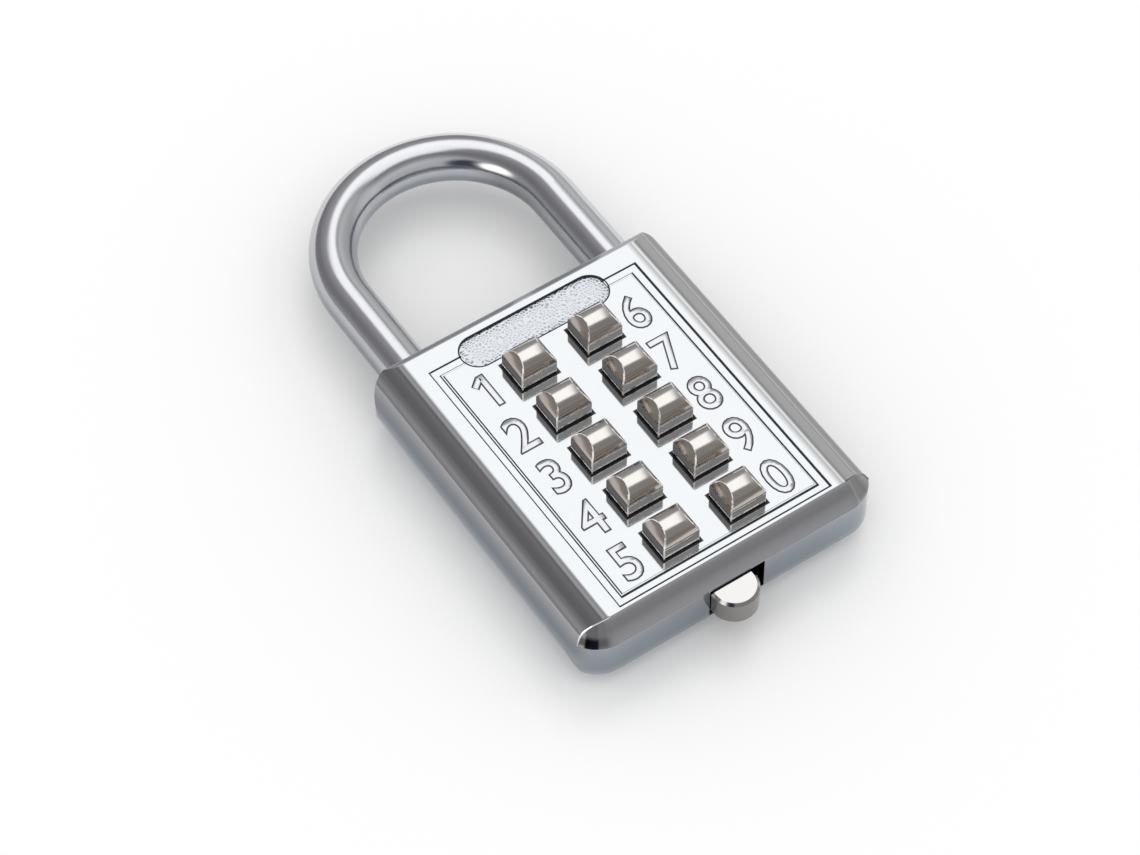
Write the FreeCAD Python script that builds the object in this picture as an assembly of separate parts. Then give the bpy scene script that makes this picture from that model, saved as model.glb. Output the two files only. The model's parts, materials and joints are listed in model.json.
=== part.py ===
"""Push-button combination padlock: a bright die-cast case on its back, a steel shackle and ten buttons.

Millimetres. X runs across the face, Y towards the shackle and Z out of the face.
The origin is the middle of the flat back. The lock is modelled closed, with its latch drawn back.
"""
import FreeCAD, Part
import math
import os

os.makedirs("parts", exist_ok=True)

# Case, outside
case_length = 46.3
case_depth = 10.6
face_width = 32.6
side_front_out = 4.7
side_front_deep = 5.5
side_back_out = 4.6
side_corner_share = 0.85
top_chamfer_out = 1.1
top_chamfer_deep = 0.72
bottom_bevel_out = 2.05
bottom_bevel_deep = 3.03
back_bevel_out = 1.8
back_bevel_deep = 2.4
bottom_corner_radius = 4.6
top_corner_radius = 2.2

# Case, walls
front_wall = 1.4
top_wall = 1.65
bottom_wall = 1.85
bore_wall = 1.2

# Marks on the face
frame_side_margin = 1.71
frame_top_margin = 4.17
frame_bottom_margin = 2.72
frame_width = 0.94
frame_depth = 0.25
plaque_length = 20.8
plaque_height = 4.86
plaque_top_margin = 2.0
plaque_depth = 0.3

# Shackle
rod_radius = 3.0
leg_spacing = 29.6
loop_height = 31.5
leg_below_face = 4.9
bore_clearance = 0.1
shackle_travel = 11.0
toe_clear_of_case = 1.35
toe_chamfer = 0.6
neck_radius = 2.3
heel_head_radius = 2.95
heel_head_length = 3.6
bore_end_gap = 0.7

# Heel pin
pin_radius = 0.75
pin_top_gap = 0.6
pin_depth_in_case = 14.15
pin_gap = 0.15
shoulder_gap = 0.35

# Back cover
cover_thickness = 1.2
cover_side_lap = 2.1
cover_end_margin = 2.65
cover_corner_radius = 1.0
cover_clearance = 0.1
rib_width = 0.6
rail_width = 0.7

# Posts that carry the cover and guide the plates
post_radius = 1.0
tenon_radius = 0.7
post_clearance = 0.1

# Buttons
keypad_top_margin = 10.1
keypad_foot_margin = 7.08
keypad_x = 0.22
column_spacing = 9.36
button_width = 5.0
button_row_gap = 2.78
button_clearance = 0.1
button_side_rise = 2.2
button_crown_rise = 1.6
button_end_lean = 0.9
flange_thickness = 0.6
flange_lip = 0.7
blade_thickness = 0.8
blade_inset = 0.75
blade_neck = 0.4
gate_height = 1.0
foot_gap = 0.1

# Button springs
spring_wire = 0.35
spring_blade_gap = 0.12
spring_turns = 2.5
spring_runs_per_turn = 10

# Hold plate
hold_thickness = 0.5
hold_travel = 0.6
hold_end_margin = 0.9
hold_stud_margin = 1.3
hold_gap = 0.1
pad_gap = 0.05
pad_width = 1.9

# Spring tray
tray_thickness = 0.6
tray_wall = 0.5
tray_slot_clearance = 0.1
side_gap = 0.2

# Code plate
code_thickness = 0.8
code_gap = 0.1
guide_gap = 0.05
tooth_width = 0.5
tooth_side_gap = 0.15
window_end_gap = 0.15
plate_low_rim = 1.68
plate_high_rim = 0.9
code_left_margin = 4.62
code_right_margin = 2.92
arm_width = 4.7
arm_past_bolt = 0.6

# Latch bolt
bolt_end_margin = 4.65
bolt_width = 3.0
bolt_top_gap = 0.7
bolt_length = 7.6
bolt_clearance = 0.1
bolt_nose_lead = 0.6
notch_end_gap = 0.3
notch_floor_gap = 0.2
stud_radius = 0.6
stud_back = 5.1
stud_aside = 0.4
stud_clearance = 0.05

# Opener knob
knob_width = 5.9
knob_top_gap = 0.8
knob_flank = 0.55
knob_edge = 0.35
knob_side_gap = 0.1
knob_tray_gap = 0.2
tongue_inset = 0.35
tongue_end_inset = 0.55
slot_front_gap = 0.25
slot_back_gap = 0.5

# Rivets
rivet_radius = 0.5
bolt_rivet_spacing = 3.2
bolt_rivet_back = 5.3
knob_rivet_spacing = 3.2
knob_rivet_inset = 0.8

# Detent spring
leaf_thickness = 0.2
leaf_wall_gap = 0.5
leaf_seat = 1.0
leaf_crest_half = 0.8
leaf_tail = 0.5
detent_from_column = 1.62
detent_depth = 0.4
detent_half = 0.6
detent_gap = 0.12

# Levels from the back of the lock to its face
face_z = case_depth
ceiling_z = face_z - front_wall
flange_z = ceiling_z - flange_thickness
hold_top_z = flange_z - hold_gap
hold_z = hold_top_z - hold_thickness
pad_z = hold_top_z + pad_gap
press_travel = flange_thickness + hold_thickness + 2 * hold_gap
foot_z = cover_thickness + foot_gap + press_travel
code_z = foot_z + code_gap
code_top_z = code_z + code_thickness
tray_z = foot_z + gate_height + press_travel
tray_top_z = tray_z + tray_thickness
tray_wall_top_z = hold_z - hold_gap
bolt_top_z = hold_z - bolt_top_gap
knob_top_z = hold_z - knob_top_gap
leg_z = face_z - leg_below_face
pin_top_z = ceiling_z - pin_top_gap

# Widths
face_half = face_width / 2
case_half = face_half + side_front_out
back_half = case_half - side_back_out
side_z = face_z - side_front_deep
leg_x = leg_spacing / 2
bore_radius = rod_radius + bore_clearance
bore_edge_x = leg_x - bore_radius
cavity_half = bore_edge_x - bore_wall
plate_half = cavity_half - side_gap
rib_x = plate_half - rib_width
cover_half_x = cavity_half + cover_side_lap
pin_x = -(leg_x - neck_radius - pin_gap - pin_radius)

# Lengths
end_y = case_length / 2
face_top_y = end_y - top_chamfer_out
face_bottom_y = bottom_bevel_out - end_y
cavity_top_y = end_y - top_wall
cavity_bottom_y = bottom_wall - end_y
cover_half_y = end_y - cover_end_margin
bolt_y = end_y - bolt_end_margin
arm_top_y = bolt_y + bolt_width / 2 + arm_past_bolt
loop_y = end_y + loop_height - leg_x - rod_radius
pin_y = end_y - pin_depth_in_case
shoulder_y = pin_y + pin_radius + shoulder_gap
head_top_y = pin_y - pin_radius - shackle_travel - pin_gap
head_end_y = head_top_y - heel_head_length
toe_end_y = end_y - shackle_travel + toe_clear_of_case
frame_top_y = face_top_y + top_chamfer_out - frame_top_margin
frame_bottom_y = frame_bottom_margin - end_y

# Buttons, from the top of the left column to its foot, then down the right column
left_column_x = keypad_x - column_spacing / 2
right_column_x = keypad_x + column_spacing / 2
top_row_y = end_y - keypad_top_margin
row_pitch = (case_length - keypad_top_margin - keypad_foot_margin) / 4
rows = [top_row_y - row_pitch * step for step in range(5)]
button_height = row_pitch - button_row_gap
blade_width = button_height - 2 * blade_inset
places = {}
for count, (x, y) in enumerate([(left_column_x, y) for y in rows] + [(right_column_x, y) for y in rows]):
    places[(count + 1) % 10] = (x, y)
posts = [(0, (rows[0] + rows[1]) / 2), (0, (rows[3] + rows[4]) / 2)]
flange_half_y = button_height / 2 + flange_lip
window_half_y = blade_width / 2 + window_end_gap
plate_low_y = rows[-1] - window_half_y - plate_low_rim
plate_high_y = rows[0] + window_half_y + plate_high_rim

# Slides
blade_half_x = blade_thickness / 2
spring_radius = math.hypot(blade_half_x, blade_width / 2) + spring_blade_gap + spring_wire / 2
opener_travel = 2 * (blade_half_x + tooth_side_gap) + tooth_width
code_left_x = left_column_x - code_left_margin
code_right_x = right_column_x + code_right_margin
knob_x = -opener_travel / 2
slot_half = (knob_width + opener_travel) / 2 + knob_side_gap
slot_z = code_z - slot_back_gap
slot_top_z = knob_top_z + slot_front_gap
knob_inner_y = plate_low_y - knob_tray_gap
bolt_nose_x = bore_edge_x - bolt_clearance
bolt_tail_x = bolt_nose_x - bolt_length
stud_x = bolt_nose_x - stud_back
stud_y = bolt_y + stud_aside
notch_x = bolt_nose_x + opener_travel + notch_floor_gap
detent_x = left_column_x - detent_from_column
bolt_rivets = [
    (bolt_nose_x - bolt_rivet_back + side * bolt_rivet_spacing / 2, bolt_y) for side in (-1, 1)
]
knob_rivets = [
    (knob_x + side * knob_rivet_spacing / 2, knob_inner_y - knob_rivet_inset) for side in (-1, 1)
]


def box(x0, x1, y0, y1, z0, z1):
    return Part.makeBox(x1 - x0, y1 - y0, z1 - z0, FreeCAD.Vector(x0, y0, z0))


def post(radius, x, y, z0, z1):
    return Part.makeCylinder(radius, z1 - z0, FreeCAD.Vector(x, y, z0))


def rod(radius, x, z, y0, y1):
    return Part.makeCylinder(radius, y1 - y0, FreeCAD.Vector(x, y0, z), FreeCAD.Vector(0, 1, 0))


def prism(points, thickness):
    """Straight-sided solid on a closed outline, thick along the given vector."""
    wire = Part.makePolygon(points + points[:1])
    return Part.Face(wire).extrude(thickness)


def rounded_plate(x0, x1, y0, y1, z0, z1, radii):
    """Flat plate whose corners are rounded, from the low x, low y corner anticlockwise."""
    corners = [(x0, y0), (x1, y0), (x1, y1), (x0, y1)]
    plate = box(x0, x1, y0, y1, z0, z1)
    for (x, y), radius in zip(corners, radii):
        if radius == 0:
            continue
        edges = [
            edge for edge in plate.Edges
            if abs(edge.BoundBox.XMin - x) < 1e-6 and abs(edge.BoundBox.XMax - x) < 1e-6
            and abs(edge.BoundBox.YMin - y) < 1e-6 and abs(edge.BoundBox.YMax - y) < 1e-6
        ]
        plate = plate.makeFillet(radius, edges)
    return plate


def slot(x0, y0, x1, y1, radius, z0, z1):
    """Round-ended slot between two points."""
    along = FreeCAD.Vector(x1 - x0, y1 - y0, 0)
    length = along.Length
    turn = math.degrees(math.atan2(along.y, along.x))
    middle = box(0, length, -radius, radius, z0, z1)
    middle.Placement = FreeCAD.Placement(
        FreeCAD.Vector(x0, y0, 0), FreeCAD.Rotation(FreeCAD.Vector(0, 0, 1), turn)
    )
    return middle.fuse([post(radius, x0, y0, z0, z1), post(radius, x1, y1, z0, z1)]).removeSplitter()


def side_curve(sign, x, z, out, deep, rises):
    """Quarter of an oval, as two tangent arcs, from the widest place of a side to the face or the back."""
    short = min(out, deep)
    long = max(out, deep)
    small = side_corner_share * short
    large = (short ** 2 + long ** 2 - 2 * long * small) / (2 * (short - small))
    join = math.atan2(long - small, large - short)

    def place(across, along):
        sideways, up = (across, along) if deep >= out else (along, across)
        return FreeCAD.Vector(sign * (x + sideways), 0, z + rises * up)

    def on_large(angle):
        return place(short - large + large * math.cos(angle), large * math.sin(angle))

    def on_small(angle):
        return place(small * math.cos(angle), long - small + small * math.sin(angle))

    flat = Part.Arc(on_large(0), on_large(join / 2), on_large(join))
    sharp = Part.Arc(on_large(join), on_small((join + math.pi / 2) / 2), on_small(math.pi / 2))
    return [flat.toShape(), sharp.toShape()]


def corner_waste(sign):
    """What comes off a bottom corner, so that both bevels run round it as cones."""
    x = sign * (case_half - bottom_corner_radius)
    y = bottom_corner_radius - end_y
    bevel_z = face_z - bottom_bevel_deep
    round_post = post(bottom_corner_radius, x, y, back_bevel_deep, bevel_z)
    back_cone = Part.makeCone(
        bottom_corner_radius - back_bevel_out, bottom_corner_radius, back_bevel_deep,
        FreeCAD.Vector(x, y, 0),
    )
    front_cone = Part.makeCone(
        bottom_corner_radius, bottom_corner_radius - bottom_bevel_out, bottom_bevel_deep,
        FreeCAD.Vector(x, y, bevel_z),
    )
    corner = box(min(x, sign * case_half), max(x, sign * case_half), -end_y, y, 0, case_depth)
    return corner.cut(round_post.fuse([back_cone, front_cone]))


def case_blank():
    """Rounded sides, bevelled ends and a plan with round corners; the case is what they share."""
    edges = []
    for sign in (-1, 1):
        edges += side_curve(sign, face_half, side_z, side_front_out, side_front_deep, 1)
        edges += side_curve(sign, back_half, side_z, side_back_out, side_z, -1)
    edges.append(
        Part.makeLine(FreeCAD.Vector(-face_half, 0, face_z), FreeCAD.Vector(face_half, 0, face_z))
    )
    edges.append(Part.makeLine(FreeCAD.Vector(-back_half, 0, 0), FreeCAD.Vector(back_half, 0, 0)))
    section = Part.Face(Part.Wire(Part.__sortEdges__(edges)))
    section.translate(FreeCAD.Vector(0, -end_y, 0))
    across = section.extrude(FreeCAD.Vector(0, case_length, 0))
    plan = rounded_plate(
        -case_half, case_half, -end_y, end_y, 0, case_depth,
        (0, 0, top_corner_radius, top_corner_radius),
    )
    profile = [
        (back_bevel_out - end_y, 0),
        (end_y - top_chamfer_out, 0),
        (end_y, top_chamfer_deep),
        (end_y, face_z - top_chamfer_deep),
        (face_top_y, face_z),
        (face_bottom_y, face_z),
        (-end_y, face_z - bottom_bevel_deep),
        (-end_y, back_bevel_deep),
    ]
    lengthwise = prism(
        [FreeCAD.Vector(-case_half, y, z) for y, z in profile], FreeCAD.Vector(2 * case_half, 0, 0)
    )
    return across.common(plan).common(lengthwise).cut([corner_waste(-1), corner_waste(1)])


def face_marks():
    """The sunk frame line round the buttons and the bare plaque that breaks it."""
    frame_half = face_half - frame_side_margin
    line_z = face_z - frame_depth
    outer = box(-frame_half, frame_half, frame_bottom_y, frame_top_y, line_z, face_z)
    inner = box(
        frame_width - frame_half, frame_half - frame_width,
        frame_bottom_y + frame_width, frame_top_y - frame_width, line_z, face_z,
    )
    plaque_radius = plaque_height / 2
    plaque_y = end_y - plaque_top_margin - plaque_radius
    straight = plaque_length / 2 - plaque_radius
    plaque = slot(-straight, plaque_y, straight, plaque_y, plaque_radius, face_z - plaque_depth, face_z)
    return [outer.cut(inner), plaque]


def case_body():
    body = case_blank()
    cavity = box(-cavity_half, cavity_half, cavity_bottom_y, cavity_top_y, cover_thickness, ceiling_z)
    for side in (-1, 1):
        inner = side * (cavity_half - pad_width)
        outer = side * cavity_half
        pad = box(min(inner, outer), max(inner, outer), cavity_bottom_y, cavity_top_y, pad_z, ceiling_z)
        cavity = cavity.cut(pad)
    rebate_x = cover_half_x + cover_clearance
    rebate_y = cover_half_y + cover_clearance
    rebate_radius = cover_corner_radius + cover_clearance
    rebate = rounded_plate(
        -rebate_x, rebate_x, -rebate_y, rebate_y, 0, cover_thickness, (rebate_radius,) * 4
    )
    tools = [cavity, rebate]
    hole_x = button_width / 2 + button_clearance
    hole_y = button_height / 2 + button_clearance
    for x, y in places.values():
        tools.append(box(x - hole_x, x + hole_x, y - hole_y, y + hole_y, ceiling_z, face_z))
    tools += face_marks()
    tools.append(rod(bore_radius, -leg_x, leg_z, head_end_y - bore_end_gap, end_y))
    tools.append(rod(bore_radius, leg_x, leg_z, toe_end_y - bore_end_gap, end_y))
    window = bolt_width / 2 + bolt_clearance
    tools.append(
        box(
            cavity_half, leg_x, bolt_y - window, bolt_y + window,
            code_top_z - bolt_clearance, bolt_top_z + bolt_clearance,
        )
    )
    tools.append(box(-slot_half, slot_half, -end_y, cavity_bottom_y, slot_z, slot_top_z))
    tools.append(post(pin_radius, pin_x, pin_y, cover_thickness, pin_top_z))
    leaf_y = cavity_bottom_y + leaf_wall_gap
    tools.append(
        box(-cavity_half - leaf_seat, -cavity_half, leaf_y, leaf_y + leaf_thickness, code_z, code_top_z)
    )
    body = body.cut(tools)
    columns = []
    for x, y in posts:
        columns.append(post(post_radius, x, y, cover_thickness, ceiling_z))
        columns.append(post(tenon_radius, x, y, 0, cover_thickness))
    return body.fuse(columns).removeSplitter()


def back_cover():
    """Pressed cover with two ribs under the spring tray and two low rails under the code plate."""
    cover = rounded_plate(
        -cover_half_x, cover_half_x, -cover_half_y, cover_half_y, 0, cover_thickness,
        (cover_corner_radius,) * 4,
    )
    strips = []
    for side in (-1, 1):
        rib = sorted((side * rib_x, side * plate_half))
        strips.append(box(*rib, plate_low_y, plate_high_y, cover_thickness, tray_z))
    for x in rail_places():
        strips.append(
            box(x, x + rail_width, plate_low_y, plate_high_y, cover_thickness, code_z - guide_gap)
        )
    cover = cover.fuse(strips)
    holes = [post(tenon_radius, x, y, 0, cover_thickness) for x, y in posts]
    return cover.cut(holes).removeSplitter()


def rail_places():
    """Left edges of the two rails that stay under the code plate through its whole travel."""
    window_left = blade_half_x + tooth_side_gap + opener_travel
    window_right = blade_half_x + tooth_side_gap
    left_rail = (code_left_x + opener_travel + left_column_x - window_left) / 2 - rail_width / 2
    right_rail = (code_right_x + right_column_x + window_right + opener_travel) / 2 - rail_width / 2
    return [left_rail, right_rail]


def spring_tray():
    """Plate that guides the button blades and carries their springs."""
    tray = box(-plate_half, plate_half, plate_low_y, plate_high_y, tray_z, tray_top_z)
    walls = []
    for side in (-1, 1):
        wall = sorted((side * (plate_half - tray_wall), side * plate_half))
        walls.append(box(*wall, plate_low_y, plate_high_y, tray_top_z, tray_wall_top_z))
    for x in rail_places():
        walls.append(box(x, x + rail_width, plate_low_y, plate_high_y, code_top_z + guide_gap, tray_z))
    tray = tray.fuse(walls)
    tools = []
    slot_x = blade_half_x + tray_slot_clearance
    slot_y = blade_width / 2 + tray_slot_clearance
    for x, y in places.values():
        tools.append(box(x - slot_x, x + slot_x, y - slot_y, y + slot_y, tray_z, tray_top_z))
    for x, y in posts:
        tools.append(post(post_radius, x, y, tray_z, tray_top_z))
    return tray.cut(tools).removeSplitter()


def code_plate():
    """Sliding plate whose teeth pass through the gates of the blades that are in the right place."""
    plate = box(code_left_x, code_right_x, plate_low_y, plate_high_y, code_z, code_top_z)
    arm = box(bolt_tail_x, bolt_tail_x + arm_width, plate_high_y, arm_top_y, code_z, code_top_z)
    tongue_x = knob_width / 2 - tongue_inset
    tongue = box(
        knob_x - tongue_x, knob_x + tongue_x, tongue_end_inset - end_y, plate_low_y, code_z, code_top_z
    )
    plate = plate.fuse([arm, tongue])
    tools = []
    near = blade_half_x + tooth_side_gap
    far = near + opener_travel
    tooth_y = blade_neck + window_end_gap
    for x, y in places.values():
        window = box(x - far, x + near, y - window_half_y, y + window_half_y, code_z, code_top_z)
        tooth = box(x - near - tooth_width, x - near, y + tooth_y, y + window_half_y, code_z, code_top_z)
        tools.append(window.cut(tooth))
    radius = post_radius + post_clearance
    for x, y in posts:
        tools.append(slot(x - opener_travel, y, x, y, radius, code_z, code_top_z))
    for x, y in bolt_rivets + knob_rivets:
        tools.append(post(rivet_radius, x, y, code_z, code_top_z))
    for x in (detent_x, detent_x - opener_travel):
        corners = [(x - detent_half, 0), (x, detent_depth), (x + detent_half, 0)]
        outline = [FreeCAD.Vector(a, plate_low_y + b, code_z) for a, b in corners]
        tools.append(prism(outline, FreeCAD.Vector(0, 0, code_thickness)))
    return plate.cut(tools).removeSplitter()


def latch_bolt():
    """Bolt on the arm of the code plate, with a stud on top that works the hold plate."""
    half = bolt_width / 2
    outline = [
        (bolt_tail_x, bolt_y - half),
        (bolt_nose_x, bolt_y - half),
        (bolt_nose_x, bolt_y + half - bolt_nose_lead),
        (bolt_nose_x - bolt_nose_lead, bolt_y + half),
        (bolt_tail_x, bolt_y + half),
    ]
    bolt = prism(
        [FreeCAD.Vector(x, y, code_top_z) for x, y in outline], FreeCAD.Vector(0, 0, bolt_top_z - code_top_z)
    )
    bolt = bolt.fuse(post(stud_radius, stud_x, stud_y, bolt_top_z, hold_top_z))
    holes = [
        post(rivet_radius, x, y, code_top_z, bolt_top_z) for x, y in bolt_rivets
    ]
    return bolt.cut(holes).removeSplitter()


def opener_knob():
    """Half-round knob below the case, with a root that runs in the slot and sits on the code plate's tongue."""
    half = knob_width / 2
    flank_y = -end_y - knob_flank
    left = FreeCAD.Vector(knob_x - half, flank_y, code_top_z)
    foot = FreeCAD.Vector(knob_x, flank_y - half, code_top_z)
    right = FreeCAD.Vector(knob_x + half, flank_y, code_top_z)
    inner_left = FreeCAD.Vector(knob_x - half, knob_inner_y, code_top_z)
    inner_right = FreeCAD.Vector(knob_x + half, knob_inner_y, code_top_z)
    edges = [
        Part.Arc(left, foot, right).toShape(),
        Part.makeLine(right, inner_right),
        Part.makeLine(inner_right, inner_left),
        Part.makeLine(inner_left, left),
    ]
    knob = Part.Face(Part.Wire(edges)).extrude(FreeCAD.Vector(0, 0, knob_top_z - code_top_z))
    rim = [
        edge for edge in knob.Edges
        if edge.BoundBox.YMax < flank_y + 0.01 and edge.BoundBox.ZLength < 0.01
    ]
    knob = knob.makeChamfer(knob_edge, rim)
    holes = [
        post(rivet_radius, x, y, code_top_z, knob_top_z) for x, y in knob_rivets
    ]
    return knob.cut(holes)


def rivet(x, y, top_z):
    """Pin that joins a piece to the code plate, flush on both sides."""
    return post(rivet_radius, x, y, code_z, top_z)


def hold_plate():
    """Plate under the button flanges that keeps pressed buttons down once the opener moves."""
    low_y = rows[-1] - flange_half_y - window_end_gap - hold_end_margin
    high_y = stud_y + hold_stud_margin
    plate = box(-plate_half, plate_half, low_y, high_y, hold_z, hold_top_z)
    tools = []
    half_x = max(button_width / 2, spring_radius + spring_wire / 2) + window_end_gap
    half_y = flange_half_y + window_end_gap
    for x, y in places.values():
        tools.append(box(x - half_x, x + half_x, y - half_y, y + half_y, hold_z, hold_top_z))
    for x, y in posts:
        tools.append(slot(x, y - hold_travel, x, y, post_radius + post_clearance, hold_z, hold_top_z))
    tools.append(
        slot(
            stud_x, stud_y, stud_x + opener_travel, stud_y - hold_travel,
            stud_radius + stud_clearance, hold_z, hold_top_z,
        )
    )
    return plate.cut(tools).removeSplitter()


def button(x, y):
    """One push button: barrel-topped cap, flange under the face and a thin gated blade."""
    half_x = button_width / 2
    half_y = button_height / 2
    side_top = face_z + button_side_rise
    ridge = side_top + button_crown_rise
    start = FreeCAD.Vector(x - half_x, y - half_y, side_top)
    crest = FreeCAD.Vector(x - half_x, y, ridge)
    finish = FreeCAD.Vector(x - half_x, y + half_y, side_top)
    low_start = FreeCAD.Vector(x - half_x, y - half_y, ceiling_z)
    low_finish = FreeCAD.Vector(x - half_x, y + half_y, ceiling_z)
    edges = [
        Part.Arc(start, crest, finish).toShape(),
        Part.makeLine(finish, low_finish),
        Part.makeLine(low_finish, low_start),
        Part.makeLine(low_start, start),
    ]
    cap = Part.Face(Part.Wire(edges)).extrude(FreeCAD.Vector(button_width, 0, 0))
    for side in (-1, 1):
        outline = [
            (x + side * half_x, side_top),
            (x + side * (half_x - button_end_lean), ridge),
            (x + side * (half_x + button_end_lean), ridge),
        ]
        wedge = prism(
            [FreeCAD.Vector(a, y - button_height, z) for a, z in outline],
            FreeCAD.Vector(0, 2 * button_height, 0),
        )
        cap = cap.cut(wedge)
    flange = box(x - half_x, x + half_x, y - flange_half_y, y + flange_half_y, flange_z, ceiling_z)
    blade = box(
        x - blade_half_x, x + blade_half_x, y - blade_width / 2, y + blade_width / 2, foot_z, flange_z
    )
    low_gate = box(
        x - blade_half_x, x + blade_half_x, y + blade_neck, y + blade_width / 2,
        foot_z, foot_z + gate_height,
    )
    turned_gate = box(
        x - blade_half_x, x + blade_half_x, y - blade_width / 2, y - blade_neck,
        foot_z + press_travel, foot_z + press_travel + gate_height,
    )
    blade = blade.cut([low_gate, turned_gate])
    return cap.fuse([flange, blade]).removeSplitter()


def button_spring(x, y):
    """Coil spring round a blade, from the tray up to the flange, of short straight runs."""
    runs = round(spring_turns * spring_runs_per_turn)
    rise = flange_z - tray_top_z - spring_wire
    half = spring_wire / 2
    stations = []
    for index in range(runs + 1):
        angle = index * 2 * math.pi / spring_runs_per_turn
        height = tray_top_z + half + rise * index / runs
        stations.append(
            FreeCAD.Vector(
                x + spring_radius * math.cos(angle), y + spring_radius * math.sin(angle), height
            )
        )
    path = Part.makePolygon(stations)
    corners = [(-half, -half), (half, -half), (half, half), (-half, half)]
    outline = [stations[0] + FreeCAD.Vector(a, 0, b) for a, b in corners]
    profile = Part.makePolygon(outline + outline[:1])
    return path.makePipeShell([profile], True, False, 1)


def shackle():
    """Bent rod with a waisted heel that the pin holds and a notched toe that the latch holds."""
    bend = Part.makeTorus(
        leg_x, rod_radius, FreeCAD.Vector(0, loop_y, leg_z), FreeCAD.Vector(0, 0, 1), -180, 180, 180
    )
    heel = rod(rod_radius, -leg_x, leg_z, shoulder_y, loop_y)
    neck = rod(neck_radius, -leg_x, leg_z, head_top_y, shoulder_y)
    head = rod(heel_head_radius, -leg_x, leg_z, head_end_y, head_top_y)
    toe = rod(rod_radius, leg_x, leg_z, toe_end_y, loop_y)
    tip = [edge for edge in toe.Edges if edge.BoundBox.YMax < toe_end_y + 0.01]
    toe = toe.makeChamfer(toe_chamfer, tip)
    body = bend.fuse([heel, neck, head, toe])
    half = bolt_width / 2 + notch_end_gap
    notch = box(
        leg_x - 2 * rod_radius, notch_x, bolt_y - half, bolt_y + half, leg_z - rod_radius, leg_z + rod_radius
    )
    return body.cut(notch).removeSplitter()


def heel_pin():
    return post(pin_radius, pin_x, pin_y, cover_thickness, pin_top_z)


def detent_spring():
    """Leaf spring seated in the side wall; its crest drops into a notch at each end of the travel."""
    low = cavity_bottom_y + leaf_wall_gap
    crest_y = plate_low_y + detent_depth - detent_gap - leaf_thickness
    line = [
        (-cavity_half - leaf_seat, low),
        (detent_x - leaf_crest_half, low),
        (detent_x, crest_y),
        (detent_x + leaf_crest_half, low),
        (detent_x + leaf_crest_half + leaf_tail, low),
    ]
    upper = [(x, y + leaf_thickness) for x, y in reversed(line)]
    outline = [FreeCAD.Vector(x, y, code_z) for x, y in line + upper]
    return prism(outline, FreeCAD.Vector(0, 0, code_thickness))


def save(name, shape):
    if not shape.isValid():
        print("not valid:", name)
    shape.exportStep("parts/" + name + ".step")


save("case_body", case_body())
save("back_cover", back_cover())
save("spring_tray", spring_tray())
save("heel_pin", heel_pin())
save("detent_spring", detent_spring())
save("shackle", shackle())
save("opener_knob", opener_knob())
save("code_plate", code_plate())
save("latch_bolt", latch_bolt())
save("hold_plate", hold_plate())
for side, (rivet_x, rivet_y) in zip(("inner", "outer"), bolt_rivets):
    save("bolt_rivet_" + side, rivet(rivet_x, rivet_y, bolt_top_z))
for side, (rivet_x, rivet_y) in zip(("left", "right"), knob_rivets):
    save("knob_rivet_" + side, rivet(rivet_x, rivet_y, knob_top_z))
for digit, (button_x, button_y) in places.items():
    save("button_" + str(digit), button(button_x, button_y))
    save("button_spring_" + str(digit), button_spring(button_x, button_y))
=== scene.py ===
# %% [markdown]
# # Push-button padlock
# The lock lies on its back, as in a product photograph: a bright plated case with two columns of
# nickel buttons, a round steel shackle and a half-round opener knob at the foot. The imported model
# gives every size and place, so this file only dresses it: it loads that frame first and keeps the
# box of the bare model, whose size it prints.

# %% Load the frame
import json
import math

import bmesh
import bpy
from mathutils import Euler, Matrix, Vector, noise


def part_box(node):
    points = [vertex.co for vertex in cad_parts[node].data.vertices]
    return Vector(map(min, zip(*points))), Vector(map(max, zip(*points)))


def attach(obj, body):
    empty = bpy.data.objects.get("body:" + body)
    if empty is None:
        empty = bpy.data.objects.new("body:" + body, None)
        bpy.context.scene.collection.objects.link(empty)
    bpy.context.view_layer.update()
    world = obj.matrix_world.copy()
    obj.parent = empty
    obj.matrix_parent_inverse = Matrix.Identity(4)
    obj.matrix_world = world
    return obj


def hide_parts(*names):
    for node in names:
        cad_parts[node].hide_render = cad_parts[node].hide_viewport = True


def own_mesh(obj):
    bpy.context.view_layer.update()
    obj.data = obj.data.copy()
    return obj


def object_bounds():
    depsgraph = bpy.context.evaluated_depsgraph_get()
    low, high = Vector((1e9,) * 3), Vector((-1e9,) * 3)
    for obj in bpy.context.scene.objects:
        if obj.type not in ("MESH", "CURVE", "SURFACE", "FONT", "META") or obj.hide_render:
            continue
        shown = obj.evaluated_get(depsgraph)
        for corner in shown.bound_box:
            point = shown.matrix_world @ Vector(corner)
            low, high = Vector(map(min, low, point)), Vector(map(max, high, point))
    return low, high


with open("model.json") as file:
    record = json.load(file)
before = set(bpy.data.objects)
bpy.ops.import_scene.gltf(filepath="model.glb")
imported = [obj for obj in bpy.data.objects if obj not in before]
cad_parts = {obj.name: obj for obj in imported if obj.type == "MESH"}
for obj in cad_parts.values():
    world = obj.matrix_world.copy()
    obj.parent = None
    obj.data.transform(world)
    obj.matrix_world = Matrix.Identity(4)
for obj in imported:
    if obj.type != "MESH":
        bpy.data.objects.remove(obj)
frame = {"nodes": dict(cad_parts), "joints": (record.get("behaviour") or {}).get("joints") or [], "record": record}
cad_low, cad_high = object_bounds()
mm = 0.001
print("the bare model, in mm:", [round(v / mm, 1) for v in (cad_high - cad_low)])

# %% [markdown]
# The case's own box and the buttons' boxes place everything else. The face is the flat top of the
# case, and a button's box tells how far its cap stands above it. Only the half width of the flat
# face, which no box gives, is written down.

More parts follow.
